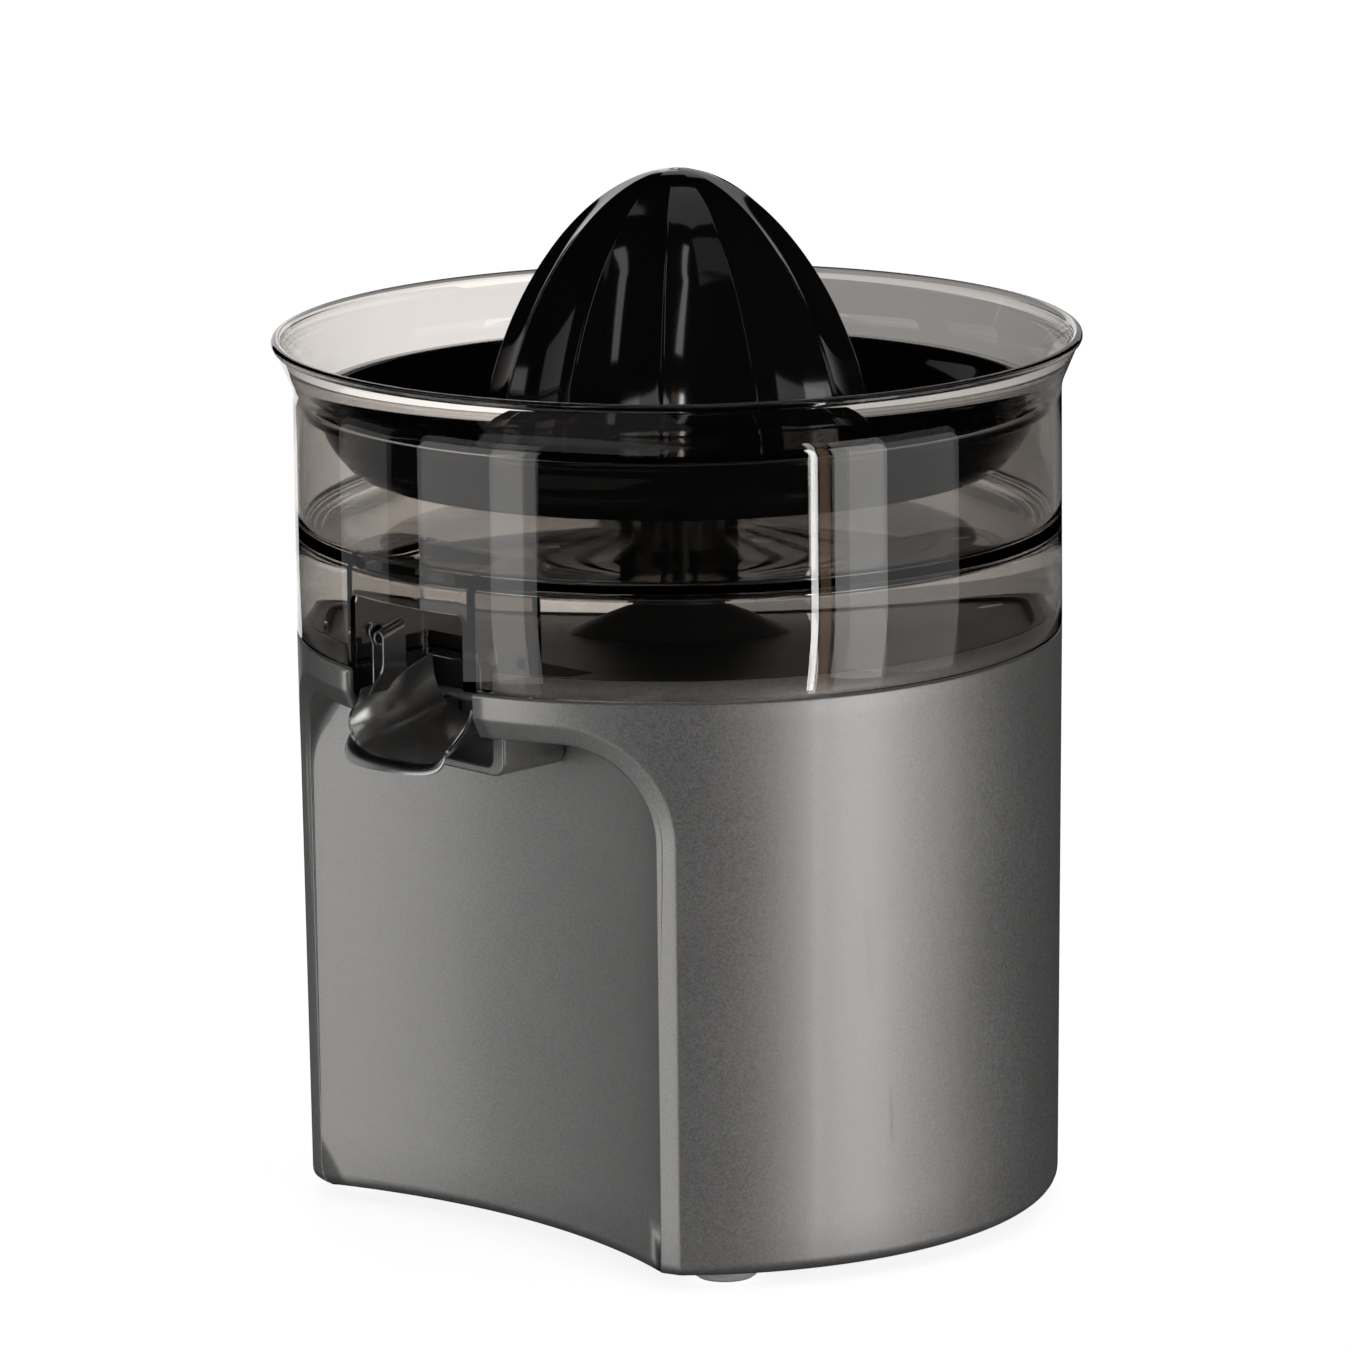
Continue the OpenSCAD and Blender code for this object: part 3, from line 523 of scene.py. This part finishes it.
def body_rings():
    """Rings of points from the outer frame of the arch to the foot of the back wall."""
    margin = 2.0
    frame_top = BAY_TOP + margin + 2.8
    middle_s, middle_z = BAY_HALF - BAY_CORNER, BAY_TOP - BAY_CORNER
    reach = frame_top - middle_z
    outer = []
    for s, z, nx, nz in arch_path(-margin):
        side = 1 if s > 0 else -1
        if abs(nz) < 1e-9:
            outer.append((side * (middle_s + reach), z))
        elif abs(nx) < 1e-9:
            outer.append((s, frame_top))
        elif abs(nz) <= abs(nx) + 1e-9:
            outer.append((side * (middle_s + reach), middle_z + reach * abs(nz / nx)))
        else:
            outer.append((side * (middle_s + reach * abs(nx / nz)), frame_top))
    rings = []
    start = arch_path(-margin)
    for share in (0.0, 0.25, 0.5, 0.75):
        rings.append([on_body(o[0] + (p[0] - o[0]) * share, o[1] + (p[1] - o[1]) * share)
                      for o, p in zip(outer, start)])
    slope = BEVEL_DEPTH / BEVEL_W
    chain = [(-margin, 0.0), (-0.9, 0.0), (-0.32, 0.0), (-0.12, 0.015), (0.1, 0.07), (0.35, 0.165),
             (1.2, 1.2 * slope), (2.6, 2.6 * slope), (3.8, 3.8 * slope), (4.05, 4.08 * slope),
             (4.22, BEVEL_DEPTH + 0.02), (BEVEL_W, BEVEL_DEPTH + 0.2)]
    for inset, depth in chain:
        rings.append([on_body(s, z, depth) for s, z, nx, nz in arch_path(inset)])
    last_inset, last_depth = chain[-1]
    edge = [at_radius(body_radius(z) - last_depth, s, z) for s, z, nx, nz in arch_path(last_inset)]
    ways = [(nx, nz) for s, z, nx, nz in arch_path(last_inset)]
    spans = []
    for x, y, z in edge:
        span = bay_wall_at(x) - y
        spans.append((span, min(2.2, 0.6 * span)))
    for share, line in ((0.35, -CRADLE_FRONT), (0.8, -56.0)):
        ring = []
        for (x, y, z), (span, fillet) in zip(edge, spans):
            on_line = abs(x) < NECK_GAP + 0.01
            ring.append(on_wall(x, line if on_line else y + (span - fillet) * share, z))
        rings.append(ring)
    for turn in (0, 18, 36, 54, 72, 90):
        ring, plain = [], []
        for (x, y, z), (nx, nz), (span, fillet) in zip(edge, ways, spans):
            shift = fillet * (1 - cos(radians(turn)))
            x_in = x + nx * shift
            plain.append(x_in)
            ring.append(on_wall(x_in, bay_wall_at(x_in) - fillet * (1 - sin(radians(turn))),
                                z + nz * shift))
        rings.append(ring)
    return rings, outer, plain


def in_notch(points, face):
    """Whether a face lies where the spout, its channel or the gap in the neck is."""
    x, y, z = (sum(points[i][axis] for i in face) / len(face) for axis in range(3))
    if z < BAY_TOP - 8 or y > -56:
        return False
    in_front = abs(x) < NOTCH_HALF and y < -CRADLE_FRONT
    over_channel = abs(x) < CHUTE_GAP and y > -CRADLE_FRONT
    in_neck = abs(x) < NECK_GAP and z > SEAM_Z - 0.01 and sqrt(x * x + y * y) < NECK_R + 0.88
    return in_front or over_channel or in_neck


def body_skin():
    """The painted wall with its bevelled bay, the notch over the spout and the neck."""
    rings, outer, wall_x = body_rings()
    count = len(outer)
    points = [point for ring in rings for point in ring]
    faces = grid_faces(len(rings), count)
    # back wall of the bay
    last = (len(rings) - 1) * count
    right_count = len(SIDE_Z) + ARC_STEPS + 1
    rows = []
    for i in range(right_count - 1):
        z = rings[-1][i][2]
        row = [last + i]
        for j in range(1, TOP_STEPS):
            across = wall_x[i] * (1 - 2 * j / TOP_STEPS)
            row.append(len(points))
            points.append(on_wall(across, bay_wall_at(across), z))
        row.append(last + count - 1 - i)
        rows.append(row)
    rows.append([last + right_count - 1 + j for j in range(TOP_STEPS + 1)])
    for low, high in zip(rows, rows[1:]):
        for j in range(TOP_STEPS):
            faces.append((low[j], high[j], high[j + 1], low[j + 1]))
    # round the back, from the right edge of the frame to the left
    side_count = len(SIDE_Z) + ARC_STEPS // 2 + 1
    edge_s = outer[0][0]
    back_steps = 96
    full = 2 * pi * BODY_R
    columns = [[i for i in range(side_count)]]
    for step in range(1, back_steps):
        s = edge_s + (full - 2 * edge_s) * step / back_steps
        column = []
        for i in range(side_count):
            column.append(len(points))
            points.append(on_body(s, outer[i][1]))
        columns.append(column)
    columns.append([count - 1 - i for i in range(side_count)])
    for near, far in zip(columns, columns[1:]):
        for i in range(side_count - 1):
            faces.append((near[i], far[i], far[i + 1], near[i + 1]))
    # seam edge, shoulder and neck, as one closed loop
    loop = [i for i in range(side_count - 1, count - side_count + 1)]
    loop += [column[side_count - 1] for column in reversed(columns[1:-1])]
    places = [BODY_R * atan2(points[i][0], -points[i][1]) for i in loop]
    profile = [(BODY_R - 0.06, SEAM_Z - 0.22), (BODY_R - 0.18, SEAM_Z - 0.08),
               (BODY_R - 0.4, SEAM_Z), (NECK_R + 0.9, SEAM_Z), (NECK_R + 0.3, SEAM_Z + 0.1),
               (NECK_R + 0.06, SEAM_Z + 0.4), (NECK_R, SEAM_Z + 0.9), (NECK_R, NECK_TOP)]
    before = loop
    for radius, z in profile:
        after = []
        for s in places:
            after.append(len(points))
            points.append(at_radius(radius, s, z))
        for j in range(len(loop)):
            k = (j + 1) % len(loop)
            faces.append((before[j], before[k], after[k], after[j]))
        before = after
    faces = [face for face in faces if not in_notch(points, face)]
    skin = square_up(piece_from("body_skin", points, faces, "body_paint"))
    group = skin.vertex_groups.new(name="wall")
    for vertex in skin.data.vertices:
        x, y, z = (value / MM for value in vertex.co)
        thin = abs(x) > 42 and y < -45 and z < 90
        group.add([vertex.index], max(0.06, (z - 40) / 50) if thin else 1.0, "REPLACE")
    thick = skin.modifiers.new("wall", "SOLIDIFY")
    thick.thickness = SHELL_T * MM
    thick.vertex_group = "wall"
    thick.offset = -1.0
    return skin


def channel(half, low, high, radius):
    """Outline of a channel seen from the front, with rounded lower corners."""
    return ([(half, high)] + arc((half - radius, low + radius), radius, 0, -90, 8)
            + arc((-half + radius, low + radius), radius, -90, -180, 8) + [(-half, high)])


def build_body():
    skin = body_skin()
    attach(skin, "base")
    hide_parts("body_shell")

    to_front = lambda a, b, depth: (a, -depth, b)
    outside = channel(CRADLE_HALF, CRADLE_Z, BAY_TOP - 3.2, 3.5)
    inside = channel(CHUTE_GAP, CRADLE_Z + CRADLE_FLOOR, BAY_TOP - 3.2, 1.6)
    cradle = prism("spout_cradle", outside + inside[::-1], BAY_WALL_Y + 1, CRADLE_FRONT,
                   "body_paint", to_front)
    square_up(cradle)
    cradle.data.shade_smooth()
    soften(cradle, 0.6, 35.0, 3)
    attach(cradle, "base")

    # painted shade: the pocket round the spout is the painted body in deep shade, made here as a
    # matt black sheet that darkens the notch and closes the view into the body
    plan = [(22.4, -77.2), (22.4, -53), (-22.4, -53), (-22.4, -77.2), (-24, -76.8), (-24, -51.4),
            (24, -51.4), (24, -76.8)]
    pocket = prism("spout_pocket", plan, BAY_TOP - 4.2, SEAM_Z - 0.2, "matt_black")
    square_up(pocket)
    soften(pocket, 0.3)
    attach(pocket, "base")


# ---------------------------------------------------------------- bowl

def build_bowl():
    low = BOWL_BOTTOM
    section = (
        [(BOWL_IN, low + 0.7), (BOWL_IN + 0.12, low + 0.25), (BOWL_IN + 0.45, low),
         (BODY_R - 0.4, low), (BODY_R - 0.1, low + 0.12), (BODY_R, low + 0.45)]
        + [(BODY_R, low + 16), (BODY_R, low + 34), (BODY_R, FLARE_Z - 1.6)]
        + arc((BODY_R + 9.0, FLARE_Z - 1.2), 9.0, 180, 155, 6)
        + [(86.15, 188.3)]
        + arc((85.87, 189.4), 1.1, -50, 150, 10)
        + [(84.55, 189.0)]
        + arc((BOWL_IN + 11.0, FLARE_Z - 0.6), 11.0, 155, 180, 6)
        + [(BOWL_IN, 166), (BOWL_IN, 154)]
        + arc((BOWL_IN - 1.4, FLOOR_Z + 3.9), 1.4, 0, -86, 5)
        + [(60, 152.6), (36, 154.4), (14.6, 155.9)]
        + arc((13.6, 157.0), 1.1, -80, -180, 5)
        + [(12.5, 165.5), (12.1, 166), (11, 166), (10.6, 165.5), (10.6, 154.6), (11.2, 153.7)]
        + [(36, 151.95), (60, 150.2), (79.2, 148.75), (80.1, 148.4), (BOWL_IN, 147.6)]
        + [(BOWL_IN, 138)]
    )
    bowl = square_up(revolve("smoked_bowl", section, "smoked_clear", 240))
    front = -sqrt(81.2 ** 2 - (CHUTE_HALF + CHUTE_WALL) ** 2)
    inner_front = -sqrt(81.2 ** 2 - CHUTE_HALF ** 2)
    out, hole = CHUTE_HALF + CHUTE_WALL, CHUTE_HALF
    back, inner_back = -CHUTE_BACK, -CHUTE_BACK - CHUTE_WALL
    plan = ([(out, front)] + arc((out - 2.6, back - 2.6), 2.6, 0, 90, 6)
            + arc((-out + 2.6, back - 2.6), 2.6, 90, 180, 6) + [(-out, front), (-hole, inner_front)]
            + arc((-hole + 0.8, inner_back - 0.8), 0.8, 180, 90, 4)
            + arc((hole - 0.8, inner_back - 0.8), 0.8, 90, 0, 4) + [(hole, inner_front)])
    chute = square_up(prism("chute", plan, low, FLOOR_Z + 1.3))
    cut(bowl, [chute], "UNION")
    pin_hole = prism("hole", arc((PIN_Y, PIN_Z), 1.55, 0, 345, 23), -30, 30,
                     to_frame=lambda a, b, depth: (depth, a, b))
    notch = prism("notch", [(-CHUTE_HALF, low - 2), (CHUTE_HALF, low - 2)]
                  + arc((CHUTE_HALF - 2, NOTCH_TOP - 2), 2, 0, 90, 6)
                  + arc((-CHUTE_HALF + 2, NOTCH_TOP - 2), 2, 90, 180, 6), 78, 95,
                  to_frame=lambda a, b, depth: (a, -depth, b))
    cut(bowl, [square_up(notch), box("outlet", (-13, -77.5, FLOOR_Z - 3), (13, -64, FLOOR_Z + 8)),
               square_up(pin_hole)])
    soften(bowl, 0.25, 50.0)
    bowl.visible_shadow = False
    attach(bowl, "bowl")
    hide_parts("juice_bowl")


# ---------------------------------------------------------------- strainer and cone

def build_strainer():
    base, rim = STRAINER_Z, STRAINER_RIM_Z
    section = (
        [(13.4, base + 0.3), (13.7, base), (68.6, base)]
        + [(70.2, base + 0.35), (71.4, base + 1.2), (73.4, base + 3.4), (75.1, base + 5.8),
           (76.3, base + 8.0), (77.2, base + 10.4), (77.8, rim - 0.7), (78.3, rim - 0.1)]
        + [(79.9, rim), (80.2, rim + 0.3), (80.2, rim + 1.3), (79.9, rim + 1.6), (77.2, rim + 1.6),
           (76.5, rim + 1.2)]
        + [(75.7, rim - 1.2), (74.8, base + 8.4), (73.4, base + 6.0), (71.6, base + 4.0),
           (69.6, base + 2.7), (67.4, base + 1.9), (65, base + 1.8)]
        + [(16.2, base + 1.8), (15.4, base + 2.1), (15.1, base + 2.8), (15.1, base + 3.8),
           (14.8, base + 4), (13.5, base + 4), (13.3, base + 3.8)]
    )
    dish = square_up(revolve("strainer_dish", section, "cone_black", 240))
    points, faces = [], []
    for i in range(24):
        turn = radians((i + 0.5) * 15)
        for start, end, half in ((47, 67, 1.1), (20, 38, 0.9)):
            outline = (arc((end - half, 0), half, -90, 90, 6)
                       + arc((start + half, 0), half, 90, 270, 6))
            first, count = len(points), len(outline)
            for z in (base - 1, base + 5):
                points += [(a * cos(turn) - b * sin(turn), a * sin(turn) + b * cos(turn), z)
                           for a, b in outline]
            faces.append(tuple(range(first, first + count))[::-1])
            faces.append(tuple(range(first + count, first + 2 * count)))
            for j in range(count):
                k = (j + 1) % count
                faces.append((first + j, first + k, first + count + k, first + count + j))
    slots = piece_from("slots", points, faces, None, smooth=False)
    cut(dish, [slots])
    soften(dish, 0.2, 50.0)
    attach(dish, "strainer")
    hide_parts("strainer")


def ridge_radius(t):
    """Radius over the cone's ribs at a share t of its height."""
    return CONE_R * (1 - t ** 1.55) ** 0.527


def hollow(turn, t):
    """Share of the radius taken away between the cone's ribs, with every third rib standing out."""
    from_rib = degrees(turn) - RIB_PHASE
    flute = sin(pi * (from_rib / RIB_STEP % 1.0)) ** 0.8
    broad = sin(pi * (from_rib / (3 * RIB_STEP) % 1.0)) ** 0.75
    fade = min(1.0, (1 - t) * 3.0)
    return FLUTE_DEPTH * flute * fade ** 0.5 + BROAD_DEPTH * broad


def build_cone():
    height = CONE_TOP - CONE_Z
    around, rings = 480, 84
    heights = [1 - (1 - i / (rings - 1)) ** 1.8 for i in range(rings - 1)] + [0.99955]
    points = []
    for t in heights:
        ridge = ridge_radius(t)
        for j in range(around):
            turn = 2 * pi * j / around
            radius = ridge * (1 - hollow(turn, t))
            points.append((radius * cos(turn), radius * sin(turn), CONE_Z + t * height))
    faces = grid_faces(len(heights), around, closed=True)
    top = len(points)
    points.append((0, 0, CONE_TOP))
    last = (len(heights) - 1) * around
    faces += [(last + j, last + (j + 1) % around, top) for j in range(around)]
    # hollow underside
    inside = [(0.0, 0.86), (0.3, 0.86), (0.6, 0.84), (0.72, 0.8), (0.78, 0.5)]
    before = 0
    for t, share in inside:
        start = len(points)
        ridge = ridge_radius(t) * share - CONE_WALL
        for j in range(around):
            turn = 2 * pi * j / around
            points.append((ridge * cos(turn), ridge * sin(turn), CONE_Z + t * height))
        for j in range(around):
            k = (j + 1) % around
            faces.append((before + j, start + j, start + k, before + k))
        before = start
    faces.append(tuple(range(before, before + around)))
    cone = square_up(piece_from("press_cone", points, faces, "cone_black"))
    cone.data.shade_smooth()
    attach(cone, "cone")
    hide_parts("cone")


# ---------------------------------------------------------------- spout

def trough_point(u, v):
    """A point of the spout's sheet: u from -1 to 1 across, v to 1 along and beyond over the lip."""
    run = min(v, 1.0)
    across = abs(u)
    side = 1 if u > 0 else -1
    half = TROUGH_HALF + TROUGH_FLARE * max(0.0, (run - 0.4) / 0.6) ** 1.5
    # the section goes from a round gutter at the back to a flat floor with upright walls in front
    power = 2 / (2.4 + 1.7 * run)
    bend = across * pi / 2
    x = side * half * sin(bend) ** power
    raised = 1 - max(0.0, cos(bend)) ** power
    z = TROUGH_FLOOR_Z - TROUGH_FALL * run + TROUGH_WALL * raised
    x += side * 0.8 * run ** 4 * raised ** 2
    # the front corners of the walls are rounded, the right one more
    cut_back = max(0.0, (across - 0.62) / 0.38)
    curve = 1.1 * (x / half) ** 2
    corner = 5.5 * cut_back ** 2 if side > 0 else 4.6 * cut_back ** 6
    y = -TROUGH_START - run * (TROUGH_REACH - curve - corner)
    if v > 1:
        over = (v - 1) / 0.2
        length = (3.1 - 0.9 * x / half) * max(0.0, 1 - (across / 0.66) ** 6)
        way = radians(LIP_SPREAD) * x / half
        out = LIP_OUT * length * (1.5 * over - 0.5 * over ** 2)
        x += out * sin(way)
        y -= out * cos(way) + 0.05 * over
        z -= LIP_DOWN * length * (0.3 * over + 0.7 * over ** 2)
    return (x, y, z)


def build_spout():
    rows, columns = 72, 81
    points = [trough_point(-1 + 2 * j / (columns - 1), 1.2 * i / (rows - 1))
              for i in range(rows) for j in range(columns)]
    sheet = piece_from("spout_sheet", points, grid_faces(rows, columns), "steel")
    square_up(sheet)
    thick = sheet.modifiers.new("sheet", "SOLIDIFY")
    thick.thickness = 0.8 * MM
    thick.offset = 0.0
    soften(sheet, 0.2, 50.0)
    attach(sheet, "spout")
    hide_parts("spout")

    for name, side in (("spout_ear_right", 1), ("spout_ear_left", -1)):
        outline = (arc((PIN_Y, PIN_Z), 2.3, -20, 200, 16)
                   + [(PIN_Y - 1.3, 131.5), (PIN_Y - 1.3, 121.2), (PIN_Y + 1.3, 121.2)]
                   + [(PIN_Y + 1.3, 131.5)])
        inner, outer = side * EAR_X - 0.3, side * EAR_X + 0.3
        ear = prism(name, outline, inner, outer, "steel",
                    lambda a, b, depth: (depth, a, b))
        square_up(ear)
        soften(ear, 0.2)
        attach(ear, "spout")

    curl = ([(-13.5, 121.6, 3.4), (-13.45, 123.0, 2.6), (-13.2, 124.2, 1.5), (-12.8, 125.5, 0.6),
             (-12.5, 127.0, 0.15), (-12.4, 128.8, 0.0), (-12.4, 130.6, 0.0), (-12.45, 132.4, 0.0)]
            + [(x, z, 0.0) for x, z in arc((-13.75, 134.0), 1.3, 0, 310, 26)])
    points = []
    for step in range(TAB_STEPS):
        for x, z, wider in curl:
            y = TAB_FRONT - wider + (TAB_LENGTH + 2 * wider) * step / (TAB_STEPS - 1)
            share = min(1.0, max(0.0, (z - 124) / 6))
            points.append((x, y, z + TAB_TILT * (y - TAB_FRONT - TAB_LENGTH / 2) * share))
    tab = piece_from("finger_tab", points, grid_faces(TAB_STEPS, len(curl)), "steel")
    square_up(tab)
    thick = tab.modifiers.new("sheet", "SOLIDIFY")
    thick.thickness = 0.6 * MM
    thick.offset = 0.0
    soften(tab, 0.15, 50.0)
    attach(tab, "spout")


# ---------------------------------------------------------------- studio

def softbox(name, azimuth, elevation, distance, width, height, power, colour=(1, 1, 1)):
    """A rectangular lamp that faces the object, azimuth 0 being in front of the spout."""
    lamp = bpy.data.lights.new(name, "AREA")
    lamp.shape = "RECTANGLE"
    lamp.size, lamp.size_y = width, height
    lamp.energy = power
    lamp.color = colour
    stand = bpy.data.objects.new(name, lamp)
    bpy.context.collection.objects.link(stand)
    a, e = radians(azimuth), radians(elevation)
    way = Vector((sin(a) * cos(e), -cos(a) * cos(e), sin(e)))
    stand.location = Vector((0, 0, 0.12)) + way * distance
    stand.rotation_mode = "QUATERNION"
    stand.rotation_quaternion = way.to_track_quat("Z", "Y")
    return stand


def build_studio():
    floor_points = [(x, y, -0.2) for x, y in
                    ((-9000, -9000), (9000, -9000), (9000, 9000), (-9000, 9000))]
    floor = piece_from("studio_floor", floor_points, [(0, 1, 2, 3)], None, smooth=False)
    f = Finish("floor_paper")
    fibre = f.noise(900.0, 3.0)
    floor.data.materials.append(f.done({
        "Base Color": f.mix(fibre, grey(0.9), grey(0.94)),
        "Roughness": 0.75 + fibre * 0.1,
        "Emission Color": (1, 1, 1, 1),
        "Emission Strength": 0.86,
        "Normal": f.bump(fibre, 0.00002, 0.2),
    }))
    # the paper is bright by itself, so it is kept out of the reflections like the air behind it
    floor.visible_glossy = False
    floor.visible_diffuse = False
    floor.visible_transmission = False
    floor.visible_shadow = False

    world = bpy.data.worlds.new("studio_air")
    bpy.context.scene.world = world
    world.use_nodes = True
    tree = world.node_tree
    place = tree.nodes.new("ShaderNodeTexCoord")
    along = tree.nodes.new("ShaderNodeVectorMath")
    along.operation = "DOT_PRODUCT"
    away = radians(CAMERA_AZIMUTH)
    along.inputs[1].default_value = (-sin(away), cos(away), 0)
    tree.links.new(place.outputs["Generated"], along.inputs[0])
    behind = tree.nodes.new("ShaderNodeMapRange")
    behind.interpolation_type = "SMOOTHSTEP"
    for socket, number in (("From Min", 0.55), ("From Max", 0.93),
                           ("To Min", 0.01), ("To Max", 0.5)):
        behind.inputs[socket].default_value = number
    tree.links.new(along.outputs["Value"], behind.inputs["Value"])
    path = tree.nodes.new("ShaderNodeLightPath")
    seen = tree.nodes.new("ShaderNodeMath")
    seen.operation = "MAXIMUM"
    tree.links.new(path.outputs["Is Camera Ray"], seen.inputs[0])
    tree.links.new(behind.outputs[0], seen.inputs[1])
    glow = tree.nodes["Background"]
    glow.inputs["Color"].default_value = (1, 1, 1, 1)
    tree.links.new(seen.outputs[0], glow.inputs["Strength"])
    world.cycles_visibility.glossy = False
    world.cycles_visibility.diffuse = False

    softbox("left_key", -19, -3, 2.0, 1.3, 1.5, 7.5)
    softbox("left_edge", -4, -3, 1.95, 0.5, 1.5, 3.0)
    softbox("left_fill", -62, 0, 2.1, 0.9, 1.5, 1.6)
    softbox("left_back", -125, 6, 2.2, 0.8, 1.6, 4)
    softbox("right_key", 100, -3, 2.0, 0.6, 1.5, 6.6)
    softbox("right_wide", 116, -3, 2.1, 1.5, 1.5, 5.5)
    softbox("right_strip", 85, -3, 1.9, 0.07, 1.6, 4.6)
    softbox("right_warm", 88.4, -3, 1.92, 0.11, 1.6, 0.5, (1.0, 0.68, 0.46))
    softbox("back_softbox", 215, 20, 2.4, 1.2, 1.6, 3)
    softbox("high_left", 12, 46, 2.0, 0.2, 1.2, 1.2)
    softbox("high_front", 48, 62, 2.0, 0.9, 0.6, 0.5)
    softbox("high_right", 88, 46, 2.0, 0.12, 1.2, 1.1)
    softbox("top_softbox", 200, 80, 2.0, 1.2, 1.2, 2.5)
    softbox("table_bounce", 10, -42, 1.6, 1.6, 0.8, 1.6)


CAMERA_AZIMUTH = 45.2
CAMERA_ELEVATION = 12.35
CAMERA_DISTANCE = 1.936
CAMERA_ROLL = -0.603


def build_camera():
    lens = bpy.data.cameras.new("front_camera")
    lens.sensor_width = 36
    lens.lens = 238.89
    lens.shift_x = -0.00385
    lens.shift_y = 0.00256
    lens.clip_start, lens.clip_end = 0.05, 60
    camera = bpy.data.objects.new("front_camera", lens)
    bpy.context.collection.objects.link(camera)
    a, e = radians(CAMERA_AZIMUTH), radians(CAMERA_ELEVATION)
    way = Vector((sin(a) * cos(e), -cos(a) * cos(e), sin(e)))
    camera.location = Vector((0, 0, 0.1142)) + way * CAMERA_DISTANCE
    camera.rotation_mode = "QUATERNION"
    roll = Matrix.Rotation(radians(CAMERA_ROLL), 3, "Z").to_quaternion()
    camera.rotation_quaternion = way.to_track_quat("Z", "Y") @ roll
    scene = bpy.context.scene
    scene.camera = camera
    scene.view_settings.view_transform = "Standard"


dress_frame_parts()
build_body()
build_bowl()
build_strainer()
build_cone()
build_spout()
build_studio()
build_camera()
